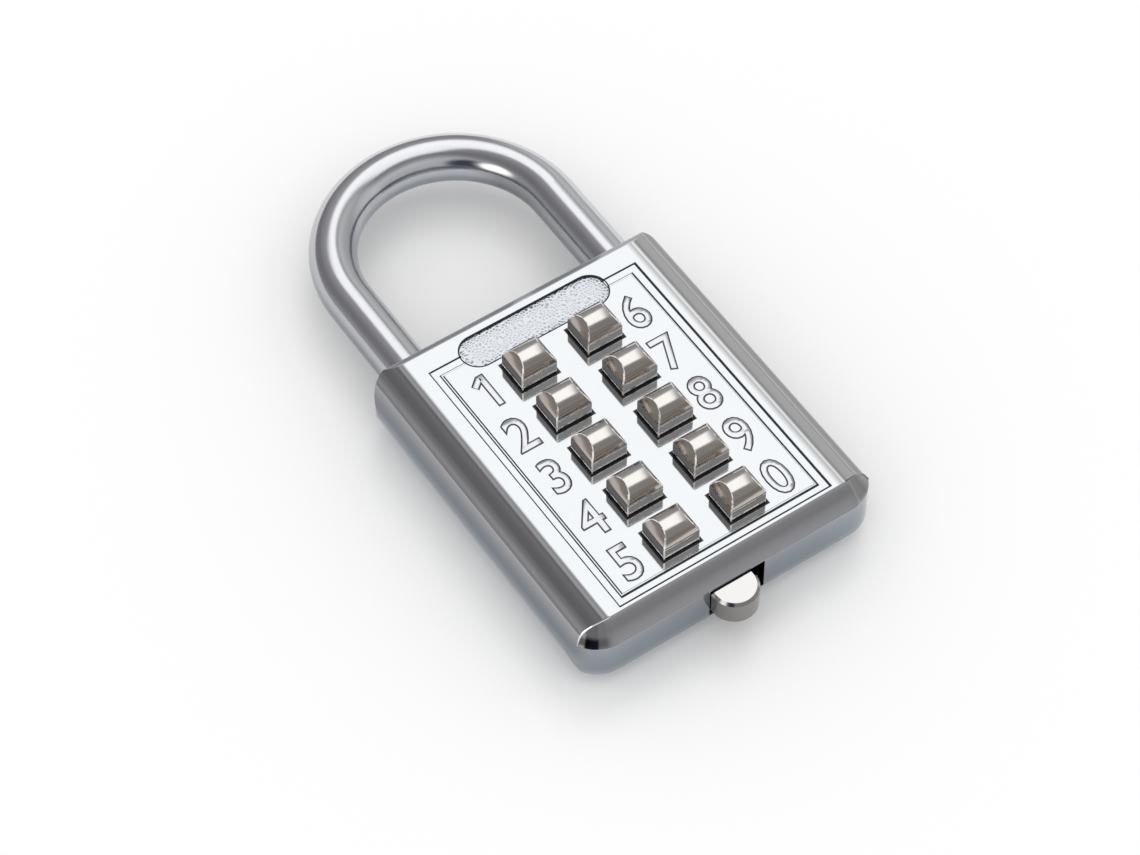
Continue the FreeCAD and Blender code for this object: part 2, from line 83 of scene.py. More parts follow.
# %% Sizes read from the frame
case_low, case_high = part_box("case_body")
face_z = case_high.z
face_half = 16.3 * mm
digits = "1234567890"
button_boxes = {digit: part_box("button_" + digit) for digit in digits}
print("face height:", round(face_z / mm, 2), "mm; case width:", round((case_high.x - case_low.x) / mm, 2))

# %% [markdown]
# The photograph was taken from in front, above and a little to the left, with a long lens. The
# camera stands on a line through a point of the face, given by its compass angle, its height angle
# and its distance, and it is turned a little about that line. A camera can also be pointed by a
# constraint, but these few numbers can each be compared with the photograph by themselves.

# %% Camera
camera_aim = Vector((-5.32, 3.24, 10.6)) * mm
camera_compass = math.radians(33.39)
camera_height = math.radians(54.02)
camera_distance = 421.5 * mm
camera_roll = math.radians(-0.785)
photo_width = 1140
focal_in_pixels = 3604.5

toward = Vector((
    math.sin(camera_compass) * math.cos(camera_height),
    math.cos(camera_compass) * math.cos(camera_height),
    -math.sin(camera_height),
))
lens = bpy.data.cameras.new("camera")
lens.sensor_width = 36
lens.lens = focal_in_pixels * lens.sensor_width / photo_width
lens.clip_start = 10 * mm
lens.clip_end = 20
camera = bpy.data.objects.new("camera", lens)
bpy.context.scene.collection.objects.link(camera)
turn = toward.to_track_quat("-Z", "Y").to_matrix().to_4x4() @ Matrix.Rotation(camera_roll, 4, "Z")
camera.matrix_world = Matrix.Translation(camera_aim - toward * camera_distance) @ turn
bpy.context.scene.camera = camera
print("focal length:", round(lens.lens, 1), "mm")

# %% [markdown]
# Bright metal has no colour of its own to speak of: it shows the room. The room here is a plain
# studio of grey walls with a paler wall on the right, one long soft window overhead, and low on the
# left a dark doorway beside a warm lamp panel, which glint in the bow and at the lower left corner.
# Real panels round the lock could do this too, but they would cast light and stand in other views.
# So the world holds the room. A few helpers keep its nodes short, and the finishes use them as well.

# %% Helpers for node trees
def share(net, value, low, high, kind="LINEAR"):
    """How far a value has gone from low to high, from 0 to 1."""
    made = net.nodes.new("ShaderNodeMapRange")
    made.interpolation_type = kind
    made.inputs["From Min"].default_value = low
    made.inputs["From Max"].default_value = high
    net.links.new(value, made.inputs["Value"])
    return made.outputs["Result"]


def product(net, first, second):
    """Product of two values, so 1 only where both are."""
    made = net.nodes.new("ShaderNodeMath")
    made.operation = "MULTIPLY"
    net.links.new(first, made.inputs[0])
    net.links.new(second, made.inputs[1])
    return made.outputs["Value"]


def laid_over(net, factor, first, colour):
    """The first colour where the factor is 0, and the given one where it is 1."""
    made = net.nodes.new("ShaderNodeMix")
    made.data_type = "RGBA"
    made.inputs["B"].default_value = (*colour, 1)
    net.links.new(factor, made.inputs["Factor"])
    net.links.new(first, made.inputs["A"])
    return made.outputs["Result"]


def toned(net, value, bands):
    """Colour at a value, on a ramp over bands of (place, colour)."""
    made = net.nodes.new("ShaderNodeValToRGB")
    while len(made.color_ramp.elements) < len(bands):
        made.color_ramp.elements.new(0.5)
    for element, (place, colour) in zip(made.color_ramp.elements, bands):
        element.position = place
        element.color = (*colour, 1)
    net.links.new(value, made.inputs["Fac"])
    return made.outputs["Color"]


# %% [markdown]
# Everything in the room is told from the way a ray looks: how far it goes along an axis, whether
# that lies in a band between two values, and whether it looks near a spot.

# %% Directions in the room
world = bpy.data.worlds.new("studio")
bpy.context.scene.world = world
world.use_nodes = True
tree = world.node_tree
tree.nodes.clear()
direction = tree.nodes.new("ShaderNodeTexCoord")
axes = tree.nodes.new("ShaderNodeSeparateXYZ")
tree.links.new(direction.outputs["Generated"], axes.inputs["Vector"])


def world_part(axis):
    """How far every direction goes along one axis, from -1 to 1."""
    part = tree.nodes.new("ShaderNodeVectorMath")
    part.operation = "DOT_PRODUCT"
    part.inputs[1].default_value = Vector(axis).normalized()
    tree.links.new(direction.outputs["Generated"], part.inputs[0])
    return part.outputs["Value"]


def world_band(value, low, high, edge):
    """1 where a direction's part lies between low and high, with soft edges, otherwise 0."""
    rises = share(tree, value, low - edge, low + edge, "SMOOTHSTEP")
    falls = share(tree, value, high + edge, high - edge, "SMOOTHSTEP")
    return product(tree, rises, falls)


def world_spot(centre, core, rim):
    """1 where a direction lies within core degrees of a centre, fading to 0 at rim degrees."""
    far = math.cos(math.radians(rim))
    near = math.cos(math.radians(core))
    return share(tree, world_part(centre), far, near, "SMOOTHSTEP")


# %% [markdown]
# The walls darken and lighten in bands. A direction is measured along a line that leans from the
# floor behind the camera up over the shackle, and a colour ramp turns that measure into a grey.

# %% Walls of the room
wall_axis = (0.177, 0.497, 0.851)
wall_bands = [
    (0.00, (0.30, 0.31, 0.33)),
    (0.30, (0.42, 0.42, 0.43)),
    (0.52, (0.42, 0.42, 0.43)),
    (0.62, (0.46, 0.46, 0.47)),
    (0.71, (0.28, 0.28, 0.285)),
    (0.79, (0.22, 0.215, 0.22)),
    (0.89, (0.24, 0.235, 0.245)),
    (1.00, (0.30, 0.295, 0.30)),
]
walls = toned(tree, share(tree, world_part(wall_axis), -1, 1), wall_bands)
print("wall bands:", len(wall_bands))

# %% [markdown]
# The window is the product of three soft bands: across the lock, along it, and above the horizon.
# The paler wall is one band on the right, and the doorway and the lamp panel are round spots. Each
# is laid over what is there already, and a limit of 2 lies beyond every direction.

# %% Window, paler wall, doorway and lamp panel
beyond = 2.0
window_across = (-0.06, 0.50)
window_along = (-0.24, 0.66)
window_above = (0.45, beyond)
window_edge = 0.07
pale_wall = (0.62, beyond)
soft_edge = 0.10
doorway_at = (-0.69, -0.65, 0.32)
lamp_panel_at = (-0.92, -0.22, 0.31)

pale = world_band(axes.outputs["X"], *pale_wall, soft_edge)
with_pale_wall = laid_over(tree, pale, walls, (0.50, 0.505, 0.50))
across = world_band(axes.outputs["X"], *window_across, window_edge)
along = world_band(axes.outputs["Y"], *window_along, window_edge)
above = world_band(axes.outputs["Z"], *window_above, soft_edge)
window = product(tree, product(tree, across, along), above)
with_window = laid_over(tree, window, with_pale_wall, (1.0, 1.0, 1.0))
doorway = world_spot(doorway_at, core=16, rim=20)
with_doorway = laid_over(tree, doorway, with_window, (0.025, 0.03, 0.05))
lamp_panel = world_spot(lamp_panel_at, core=13, rim=18)
room = laid_over(tree, lamp_panel, with_doorway, (2.2, 2.15, 2.0))
print("room nodes:", len(tree.nodes))

# %% [markdown]
# The camera, mirrors and anything clear see that room. Every other ray finds one even white, which
# is the soft light that fills the studio, so that a painted colour renders as it is written.

# %% World's two lights
paths = tree.nodes.new("ShaderNodeLightPath")
camera_or_gloss = tree.nodes.new("ShaderNodeMath")
camera_or_gloss.operation = "MAXIMUM"
seen = tree.nodes.new("ShaderNodeMath")
seen.operation = "MAXIMUM"
soft_light = tree.nodes.new("ShaderNodeBackground")
soft_light.inputs["Color"].default_value = (1, 1, 1, 1)
soft_light.inputs["Strength"].default_value = 0.95
room_light = tree.nodes.new("ShaderNodeBackground")
choose = tree.nodes.new("ShaderNodeMixShader")
out = tree.nodes.new("ShaderNodeOutputWorld")
tree.links.new(room, room_light.inputs["Color"])
tree.links.new(paths.outputs["Is Camera Ray"], camera_or_gloss.inputs[0])
tree.links.new(paths.outputs["Is Glossy Ray"], camera_or_gloss.inputs[1])
tree.links.new(camera_or_gloss.outputs["Value"], seen.inputs[0])
tree.links.new(paths.outputs["Is Transmission Ray"], seen.inputs[1])
tree.links.new(seen.outputs["Value"], choose.inputs["Fac"])
tree.links.new(soft_light.outputs["Background"], choose.inputs[1])
tree.links.new(room_light.outputs["Background"], choose.inputs[2])
tree.links.new(choose.outputs["Shader"], out.inputs["Surface"])

# %% [markdown]
# A broad, weak sun from the same side as the window gives the lock a soft shadow on a plain white
# floor. The floor is far wider than any view, so its edge never shows, and the sun's own disc is
# kept out of the mirrors.

# %% Lamp and floor
sun = bpy.data.lights.new("window_sun", "SUN")
sun.energy = 0.25
sun.angle = math.radians(25)
lamp = bpy.data.objects.new("window_sun", sun)
lamp.rotation_euler = Euler((math.radians(-25), math.radians(28), 0))
lamp.visible_glossy = False
bpy.context.scene.collection.objects.link(lamp)

floor_material = bpy.data.materials.new("floor_white")
floor_material.use_nodes = True
floor_shader = floor_material.node_tree.nodes["Principled BSDF"]
floor_shader.inputs["Base Color"].default_value = (0.99, 0.99, 0.99, 1)
floor_shader.inputs["Roughness"].default_value = 0.9
floor_shader.inputs["Specular IOR Level"].default_value = 0.0
floor_build = bmesh.new()
bmesh.ops.create_grid(floor_build, x_segments=1, y_segments=1, size=4)
floor_mesh = bpy.data.meshes.new("floor")
floor_build.to_mesh(floor_mesh)
floor_build.free()
floor_mesh.materials.append(floor_material)
floor = bpy.data.objects.new("floor", floor_mesh)
floor.location.z = cad_low.z - 0.02 * mm
bpy.context.scene.collection.objects.link(floor)

# %% [markdown]
# Every metal here has been handled: a haze of fine marks makes the gloss a little uneven. That haze
# is one node group, fed with the scale of the marks, so that each finish can use it its own way.

# %% Handling marks, a shared group
def handling_marks():
    """Group that turns a scale into a haze, and the haze into an uneven roughness."""
    group = bpy.data.node_groups.new("handling_marks", "ShaderNodeTree")
    group.interface.new_socket("Scale", in_out="INPUT", socket_type="NodeSocketFloat")
    group.interface.new_socket("Roughness", in_out="INPUT", socket_type="NodeSocketFloat")
    group.interface.new_socket("Spread", in_out="INPUT", socket_type="NodeSocketFloat")
    group.interface.new_socket("Roughness", in_out="OUTPUT", socket_type="NodeSocketFloat")
    group.interface.new_socket("Haze", in_out="OUTPUT", socket_type="NodeSocketFloat")
    entry = group.nodes.new("NodeGroupInput")
    leave = group.nodes.new("NodeGroupOutput")
    place = group.nodes.new("ShaderNodeTexCoord")
    haze = group.nodes.new("ShaderNodeTexNoise")
    haze.inputs["Detail"].default_value = 4
    haze.inputs["Roughness"].default_value = 0.6
    spread = group.nodes.new("ShaderNodeMath")
    spread.operation = "MULTIPLY_ADD"
    group.links.new(place.outputs["Object"], haze.inputs["Vector"])
    group.links.new(entry.outputs["Scale"], haze.inputs["Scale"])
    group.links.new(haze.outputs["Fac"], spread.inputs[0])
    group.links.new(entry.outputs["Spread"], spread.inputs[1])
    group.links.new(entry.outputs["Roughness"], spread.inputs[2])
    group.links.new(spread.outputs["Value"], leave.inputs["Roughness"])
    group.links.new(haze.outputs["Fac"], leave.inputs["Haze"])
    return group


marks_group = handling_marks()
print("group nodes:", len(marks_group.nodes))

# %% [markdown]
# Plating and bare metal differ only in their two tones, their gloss and the scale of the marks, so
# one function makes them all. The shader stays in the material, because a group may hold only
# what changes over the surface.

# %% Metal finishes
def marked_material(name, scale):
    """New material with marks of handling in it, its shader and the marks."""
    material = bpy.data.materials.new(name)
    material.use_nodes = True
    nodes = material.node_tree.nodes
    marks = nodes.new("ShaderNodeGroup")
    marks.node_tree = marks_group
    marks.inputs["Scale"].default_value = scale
    return material, nodes["Principled BSDF"], marks


def metal(name, light, dark, roughness, spread, scale=400):
    """Plated or bare metal whose colour drifts between two tones with the haze of handling."""
    material, shader, marks = marked_material(name, scale)
    links = material.node_tree.links
    shader.inputs["Metallic"].default_value = 1
    marks.inputs["Roughness"].default_value = roughness
    marks.inputs["Spread"].default_value = spread
    tint = material.node_tree.nodes.new("ShaderNodeMix")
    tint.name = "tint"
    tint.data_type = "RGBA"
    tint.inputs["A"].default_value = (*dark, 1)
    tint.inputs["B"].default_value = (*light, 1)
    links.new(marks.outputs["Haze"], tint.inputs["Factor"])
    links.new(tint.outputs["Result"], shader.inputs["Base Color"])
    links.new(marks.outputs["Roughness"], shader.inputs["Roughness"])
    return material


def dress(node, material):
    """Gives a CAD node its finish."""
    for holder in frame["nodes"][node].material_slots:
        holder.material = material


# %% [markdown]
# The edges of the button caps get a pale satin line, a painted highlight where a bevel catches the
# window. It is barely metallic, so it stays pale whatever it faces, and the same haze leaves grey specks of
# plating in it.

# %% Painted edge highlight
def painted_edge_highlight(name):
    """Pale satin line painted on an edge as its highlight, with grey specks of the plating."""
    material, shader, marks = marked_material(name, 900)
    shader.inputs["Metallic"].default_value = 0.25
    shader.inputs["Roughness"].default_value = 0.45
    specks = [(0.36, (0.30, 0.28, 0.26)), (0.52, (0.96, 0.95, 0.92))]
    tint = toned(material.node_tree, marks.outputs["Haze"], specks)
    material.node_tree.links.new(tint, shader.inputs["Base Color"])
    return material


edge_highlight_finish = painted_edge_highlight("painted_edge_highlight")

# %% [markdown]
# The case is one casting, but its face and its sides don't look alike: the face was buffed to a
# mirror, and the rounded sides and the bevels carry bands of painted reflection and shade along the
# case. A painted map could hold those bands, but they follow two things that every point already
# knows: its height above the back, and the way it faces.
#
# Each side of the case has its own bands over the height, from 0 at the back to 1 at the face: the
# left flank, the right flank with the painted light of the paler wall, the top end with its narrow
# chamfer and a painted dark line, and the foot with its long bevel.

# %% Bands of the case's four sides
left_bands = [
    (0.00, (0.36, 0.38, 0.41)),
    (0.40, (0.33, 0.36, 0.385)),
    (0.53, (0.235, 0.265, 0.295)),
    (0.61, (0.19, 0.215, 0.24)),
    (0.70, (0.24, 0.25, 0.265)),
    (0.78, (0.32, 0.32, 0.335)),
    (0.85, (0.52, 0.52, 0.53)),
    (0.906, (0.50, 0.495, 0.51)),
    (0.953, (0.47, 0.465, 0.48)),
    (0.981, (0.52, 0.515, 0.53)),
    (1.00, (0.22, 0.22, 0.23)),
]
right_bands = [
    (0.00, (0.20, 0.205, 0.21)),
    (0.60, (0.15, 0.15, 0.155)),
    (0.80, (0.085, 0.085, 0.085)),
    (0.851, (0.095, 0.095, 0.095)),
    (0.89, (0.20, 0.20, 0.20)),
    (0.920, (0.28, 0.28, 0.28)),
    (0.942, (0.51, 0.51, 0.51)),
    (0.958, (0.72, 0.72, 0.72)),
    (0.99, (0.71, 0.71, 0.71)),
    (1.00, (0.82, 0.82, 0.82)),
]
top_bands = [
    (0.00, (0.40, 0.42, 0.44)),
    (0.93, (0.40, 0.415, 0.43)),
    (0.945, (0.36, 0.37, 0.38)),
    (0.965, (0.22, 0.235, 0.25)),
    (0.985, (0.40, 0.415, 0.43)),
    (1.00, (0.60, 0.61, 0.62)),
]
foot_bands = [
    (0.00, (0.42, 0.45, 0.48)),
    (0.24, (0.40, 0.43, 0.46)),
    (0.32, (0.29, 0.33, 0.365)),
    (0.50, (0.29, 0.325, 0.365)),
    (0.70, (0.34, 0.36, 0.385)),
    (0.725, (0.60, 0.61, 0.64)),
    (0.80, (0.54, 0.54, 0.55)),
    (0.88, (0.41, 0.40, 0.41)),
    (0.95, (0.44, 0.44, 0.45)),
    (1.00, (0.66, 0.66, 0.66)),
]

# %% [markdown]
# The two corners at the foot turn smoothly from flank to bevel, so their bands follow the turn of
# the surface instead of the height. In the left one, a dark painted reflection lies beside the
# polished crease, and above it the corner's painted shade is one even grey. The right one is painted
# a little darker as it turns into the bevel.

# %% Tones of the corners at the foot
corner_start = (-0.10, -0.25)
corner_turn = (-0.10, -0.80)
bevel_foot = (7.2 * mm, 7.9 * mm)
patch_top = (8.4 * mm, 8.9 * mm)
upper_corner_grey = (0.19, 0.187, 0.195)
left_corner_bands = [
    (0.00, (0.45, 0.45, 0.46)),
    (0.20, (0.45, 0.45, 0.46)),
    (0.25, (0.05, 0.05, 0.052)),
    (0.62, (0.05, 0.05, 0.052)),
    (0.74, (0.17, 0.17, 0.175)),
    (1.00, (0.25, 0.247, 0.255)),
]
right_corner_bands = [
    (0.00, (0.24, 0.24, 0.245)),
    (0.60, (0.24, 0.24, 0.245)),
    (0.80, (0.17, 0.17, 0.175)),
    (1.00, (0.22, 0.22, 0.225)),
]


def mix(net, factor, first, second, kind="RGBA"):
    """Colours or values mixed by a factor."""
    made = net.nodes.new("ShaderNodeMix")
    made.data_type = kind
    net.links.new(factor, made.inputs["Factor"])
    net.links.new(first, made.inputs["A"])
    net.links.new(second, made.inputs["B"])
    return made.outputs["Result"]


def at_corner(net, where, facing):
    """1 in the bevelled part of the two corners at the foot."""
    turning = share(net, facing.outputs["Y"], *corner_start)
    return product(net, turning, share(net, where.outputs["Z"], *bevel_foot))


def corner_tone(net, where, facing, is_right):
    """Painted reflection and shade of the corners at the foot, by how far they have turned from the flank."""
    turned = share(net, facing.outputs["Y"], *corner_turn)
    above_patch = share(net, where.outputs["Z"], *patch_top)
    left = laid_over(net, above_patch, toned(net, turned, left_corner_bands), upper_corner_grey)
    return mix(net, is_right, left, toned(net, turned, right_corner_bands))


# %% [markdown]
# Now the sides are laid over each other: the flanks first, the corners on them, then the foot and
# the top end. A face looks towards the foot where its normal's part along Y is near -1, and the
# steep foot begins earlier than its bevel, which the corners meet at a slant.

# %% Tones of all sides
left_to_right = (-0.05, 0.05)
foot_start = (-0.40, -0.72)
bevel_start = (-0.785, -0.825)
top_start = (0.30, 0.50)


def side_tone(net, where, facing):
    """Painted reflection and shade of everything but the face."""
    height = share(net, where.outputs["Z"], 0, face_z)
    is_right = share(net, facing.outputs["X"], *left_to_right)
    left = toned(net, height, left_bands)
    right = toned(net, height, right_bands)
    flanks = mix(net, is_right, left, right)
    corner = corner_tone(net, where, facing, is_right)
    in_corner = at_corner(net, where, facing)
    with_corners = mix(net, in_corner, flanks, corner)
    on_bevel = share(net, where.outputs["Z"], *bevel_foot)
    below_bevel = share(net, facing.outputs["Y"], *foot_start)
    above_foot = share(net, facing.outputs["Y"], *bevel_start)
    is_foot = mix(net, on_bevel, below_bevel, above_foot, "FLOAT")
    foot = toned(net, height, foot_bands)
    with_foot = mix(net, is_foot, with_corners, foot)
    is_top = share(net, facing.outputs["Y"], *top_start)
    return mix(net, is_top, with_foot, toned(net, height, top_bands))


# %% [markdown]
# Two places aren't a mirror but satin: the narrow chamfer at the top end, and the upper part of the
# left corner. There the metal is given less of its mirror.

# %% Satin places
chamfer_foot = (9.6 * mm, 9.8 * mm)
corner_satin_end = (-0.82, -0.78)
satin_loss = 0.7


def satin_metal(net, where, facing):
    """Metallic value: 1 for a mirror, less in the two satin places."""
    is_top = share(net, facing.outputs["Y"], *top_start)
    on_chamfer = product(net, is_top, share(net, where.outputs["Z"], *chamfer_foot))
    above_patch = share(net, where.outputs["Z"], *patch_top)
    off_bevel = share(net, facing.outputs["Y"], *corner_satin_end)
    on_left = share(net, facing.outputs["X"], *reversed(left_to_right))
    upper = product(net, at_corner(net, where, facing), above_patch)
    satin_corner = product(net, product(net, upper, off_bevel), on_left)
    either = net.nodes.new("ShaderNodeMath")
    either.operation = "MAXIMUM"
    net.links.new(on_chamfer, either.inputs[0])
    net.links.new(satin_corner, either.inputs[1])
    left_over = net.nodes.new("ShaderNodeMath")
    left_over.operation = "MULTIPLY_ADD"
    left_over.inputs[1].default_value = -satin_loss
    left_over.inputs[2].default_value = 1
    net.links.new(either.outputs["Value"], left_over.inputs[0])
    return left_over.outputs["Value"]


# %% [markdown]
# The face keeps the plain tint of the plating. It is where a normal points almost straight up, and
# it fades into the tone of the side along its right edge, where the real edge is soft.

# %% Case finish
straight_up = (0.9965, 0.9995)
right_edge = (face_half - 0.1 * mm, face_half - 0.75 * mm)


def case_chrome():
    """Chrome of the case: a mirror face between sides with bands of painted reflection and shade."""
    material = metal("case_chrome", (0.93, 0.955, 0.975), (0.885, 0.92, 0.945), 0.05, 0.08, scale=250)
    net = material.node_tree
    shader = net.nodes["Principled BSDF"]
    place = net.nodes.new("ShaderNodeTexCoord")
    where = net.nodes.new("ShaderNodeSeparateXYZ")
    net.links.new(place.outputs["Object"], where.inputs["Vector"])
    facing = net.nodes.new("ShaderNodeSeparateXYZ")
    net.links.new(place.outputs["Normal"], facing.inputs["Vector"])
    faces_up = share(net, facing.outputs["Z"], *straight_up)
    off_edge = share(net, where.outputs["X"], *right_edge)
    is_face = product(net, faces_up, off_edge)
    side = side_tone(net, where, facing)
    whole = mix(net, is_face, side, net.nodes["tint"].outputs["Result"])
    net.links.new(whole, shader.inputs["Base Color"])
    net.links.new(satin_metal(net, where, facing), shader.inputs["Metallic"])
    return material


case_finish = case_chrome()
dress("case_body", case_finish)
print("nodes in the case's finish:", len(case_finish.node_tree.nodes))

# %% [markdown]
# The shackle is plated steel rod, and its colour carries painted light: bright on top, darker round
# the side. Its tone follows the way a point faces, upwards along Z, and the inner side of the bow,
# which faces the foot along Y, is painted lighter again. The ramp there goes past 1, because it lifts the other.

# %% Shackle finish
def add_tone(material, reading, axis, low, high, bands):
    """Tints a finish by one axis of its Normal or of its Object place, from bands of low to high."""
    net = material.node_tree
    place = net.nodes.new("ShaderNodeTexCoord")
    parts = net.nodes.new("ShaderNodeSeparateXYZ")
    net.links.new(place.outputs[reading], parts.inputs["Vector"])
    tone = toned(net, share(net, parts.outputs[axis], low, high), bands)
    tinted = net.nodes.new("ShaderNodeMix")
    tinted.data_type = "RGBA"
    tinted.blend_type = "MULTIPLY"
    tinted.inputs["Factor"].default_value = 1
    base = net.nodes["Principled BSDF"].inputs["Base Color"]
    net.links.new(base.links[0].from_socket, tinted.inputs["A"])
    net.links.new(tone, tinted.inputs["B"])
    net.links.new(tinted.outputs["Result"], base)


shackle_finish = metal("shackle_chrome", (0.95, 0.96, 0.98), (0.86, 0.87, 0.90), 0.13, 0.08, scale=180)
add_tone(shackle_finish, "Normal", "Z", -1, 1, [
    (0.00, (0.24, 0.25, 0.27)),
    (0.40, (0.25, 0.265, 0.28)),
    (0.49, (0.27, 0.285, 0.30)),
    (0.53, (0.28, 0.295, 0.31)),
    (0.60, (0.33, 0.34, 0.35)),
    (0.70, (0.49, 0.49, 0.50)),
    (0.82, (0.56, 0.56, 0.57)),
    (0.93, (0.72, 0.72, 0.73)),
    (0.975, (0.92, 0.92, 0.93)),
    (1.00, (1.00, 1.00, 1.00)),
])
add_tone(shackle_finish, "Normal", "Y", -1, 1, [
    (0.00, (1.75, 1.75, 1.75)),
    (0.14, (1.70, 1.70, 1.70)),
    (0.27, (1.00, 1.00, 1.00)),
    (1.00, (1.00, 1.00, 1.00)),
])

# %% [markdown]
# The buttons and the knob are nickel with a warm tone. The barrel tops of the buttons are painted
# darker as they turn down, and their left ends, which face straight along X, carry the painted shade of the
# doorway.

# %% Button and knob finishes
button_finish = metal("button_nickel", (1.0, 0.98, 0.95), (0.93, 0.90, 0.865), 0.10, 0.10, scale=500)
add_tone(button_finish, "Normal", "Z", 0, 1, [
    (0.00, (0.80, 0.80, 0.80)),
    (0.18, (0.80, 0.79, 0.78)),
    (0.30, (0.62, 0.58, 0.55)),
    (0.48, (0.50, 0.46, 0.43)),
    (0.68, (0.37, 0.335, 0.31)),
    (0.80, (0.50, 0.47, 0.44)),
    (0.88, (0.86, 0.84, 0.82)),
    (0.94, (1.00, 0.99, 0.98)),
    (1.00, (1.00, 1.00, 1.00)),
])
add_tone(button_finish, "Normal", "X", -1, 1, [
    (0.00, (0.48, 0.48, 0.48)),
    (0.01, (0.48, 0.48, 0.48)),
    (0.03, (1.00, 1.00, 1.00)),
    (1.00, (1.00, 1.00, 1.00)),
])
knob_finish = metal("knob_nickel", (0.95, 0.945, 0.935), (0.88, 0.87, 0.86), 0.08, 0.10, scale=500)
# Painted light: the knob is bright on top and darker round its side.
add_tone(knob_finish, "Normal", "Z", 0, 1, [
    (0.00, (0.30, 0.29, 0.28)),
    (0.50, (0.26, 0.25, 0.24)),
    (0.90, (0.60, 0.59, 0.58)),
    (0.98, (1.00, 1.00, 1.00)),
])

# %% [markdown]
# The parts inside are plain steel and brass, and the back cover is rolled steel. The marks on the
# face are dark lines of painted shade, bright digit tops, slopes of painted shade and the pale
# stipple. With these the record's slots tell which CAD piece gets which finish.

# %% Finishes of the other pieces
cover_finish = metal("cover_steel", (0.66, 0.67, 0.68), (0.52, 0.53, 0.54), 0.28, 0.15, scale=300)
inner_finish = metal("inner_steel", (0.52, 0.52, 0.53), (0.40, 0.40, 0.41), 0.35, 0.15)
spring_finish = metal("spring_steel", (0.45, 0.45, 0.46), (0.34, 0.34, 0.35), 0.30, 0.10)
brass_finish = metal("plate_brass", (0.76, 0.58, 0.28), (0.62, 0.46, 0.21), 0.25, 0.15)
gap_shade_finish = metal("painted_gap_shade", (0.07, 0.07, 0.08), (0.04, 0.04, 0.045), 0.35, 0.10)
digit_finish = metal("digit_chrome", (0.93, 0.94, 0.96), (0.86, 0.87, 0.90), 0.08, 0.08, scale=250)
# The crease metal is darker than the case: painted shade of the right side.
crease_shade_finish = metal("shaded_crease", (0.30, 0.30, 0.305), (0.22, 0.22, 0.225), 0.20, 0.10, scale=900)
slope_finish = metal("digit_slope", (0.20, 0.205, 0.22), (0.07, 0.07, 0.08), 0.30, 0.10, scale=900)
shade_finish = metal("window_shade", (0.13, 0.13, 0.13), (0.085, 0.083, 0.08), 0.20, 0.10, scale=900)
shade_line_finish = metal("frame_line", (0.085, 0.09, 0.095), (0.02, 0.02, 0.025), 0.35, 0.10, scale=1400)
plaque_finish = metal("plaque_stipple", (0.96, 0.98, 1.0), (0.88, 0.91, 0.96), 0.25, 0.10, scale=900)

finish_of_slot = {
    "shackle_chrome": shackle_finish,
    "button_nickel": button_finish,
    "knob_nickel": knob_finish,
    "cover_steel": cover_finish,
    "inner_steel": inner_finish,
    "spring_steel": spring_finish,
    "plate_brass": brass_finish,
}
for part in frame["record"]["subparts"]:
    if part["material_slot"] in finish_of_slot:
        dress(part["node"], finish_of_slot[part["material_slot"]])
print("finishes:", len(bpy.data.materials))

# %% [markdown]
# New pieces are built with bmesh and handed over by one helper, which sets their normals, smooths
# what is round, and lets each ride on the body that carries it.

# %% Helper for new pieces
def finish_piece(name, build, materials, body, smooth_angle=35):
    """Makes a build into a piece with its finishes, on the body that carries it."""
    bmesh.ops.recalc_face_normals(build, faces=build.faces)
    mesh = bpy.data.meshes.new(name)
    build.to_mesh(mesh)
    build.free()
    for material in materials:
        mesh.materials.append(material)
    mesh.shade_smooth()
    mesh.set_sharp_from_angle(angle=math.radians(smooth_angle))
    piece = bpy.data.objects.new(name, mesh)
    bpy.context.scene.collection.objects.link(piece)
    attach(piece, body)
    return piece


def everything(build):
    """All corners, edges and faces of a build, as the cutting operator takes them."""
    return build.verts[:] + build.edges[:] + build.faces[:]


# %% [markdown]
# A button cap is a small block with a barrel top. Its end view is a rectangle with an arc on it,
# drawn at both ends and joined by faces, and two slanted cuts take the ends of the barrel down. A
# cylinder joined to a box would need a clean-up at the seam, which one outline spares. An extrusion
# would give the same block, but its faces in another order each time.

# %% Form of a button cap
cap_side_rise = 2.2 * mm
cap_end_lean = 0.9 * mm
cap_half_height = 2.25 * mm
cap_root = 1.4 * mm
arc_steps = 14


def cap_outline(x, y, shoulder, ridge):
    """End view of a cap: its foot, then an arc over the ridge."""
    rise = ridge - shoulder
    radius = (cap_half_height ** 2 + rise ** 2) / (2 * rise)
    reach = math.asin(min(1, cap_half_height / radius))
    bottom = face_z - cap_root
    points = [Vector((x, y - cap_half_height, bottom)), Vector((x, y + cap_half_height, bottom))]
    for step in range(arc_steps + 1):
        angle = reach - 2 * reach * step / arc_steps
        points.append(Vector((x, y + radius * math.sin(angle), ridge - radius + radius * math.cos(angle))))
    return points


def cap_block(low, high):
    """Closed block of a cap in its button's box, with both ends of the barrel cut to a slant."""
    middle_y = (low.y + high.y) / 2
    shoulder = face_z + cap_side_rise
    build = bmesh.new()
    left = [build.verts.new(p) for p in cap_outline(low.x, middle_y, shoulder, high.z)]
    right = [build.verts.new(p) for p in cap_outline(high.x, middle_y, shoulder, high.z)]
    build.faces.new(left)
    build.faces.new(right)
    for step in range(len(left)):
        build.faces.new((left[step - 1], left[step], right[step], right[step - 1]))
    for side, edge_x in ((-1, low.x), (1, high.x)):
        slope = Vector((side * (high.z - shoulder), 0, cap_end_lean)).normalized()
        cut = bmesh.ops.bisect_plane(
            build, geom=everything(build),
            plane_co=(edge_x, middle_y, shoulder), plane_no=slope, clear_outer=True,
        )
        rim = [e for e in cut["geom_cut"] if isinstance(e, bmesh.types.BMEdge)]
        bmesh.ops.contextual_create(build, geom=rim)
    bmesh.ops.remove_doubles(build, verts=build.verts, dist=0.002 * mm)
    bmesh.ops.recalc_face_normals(build, faces=build.faces)
    return build
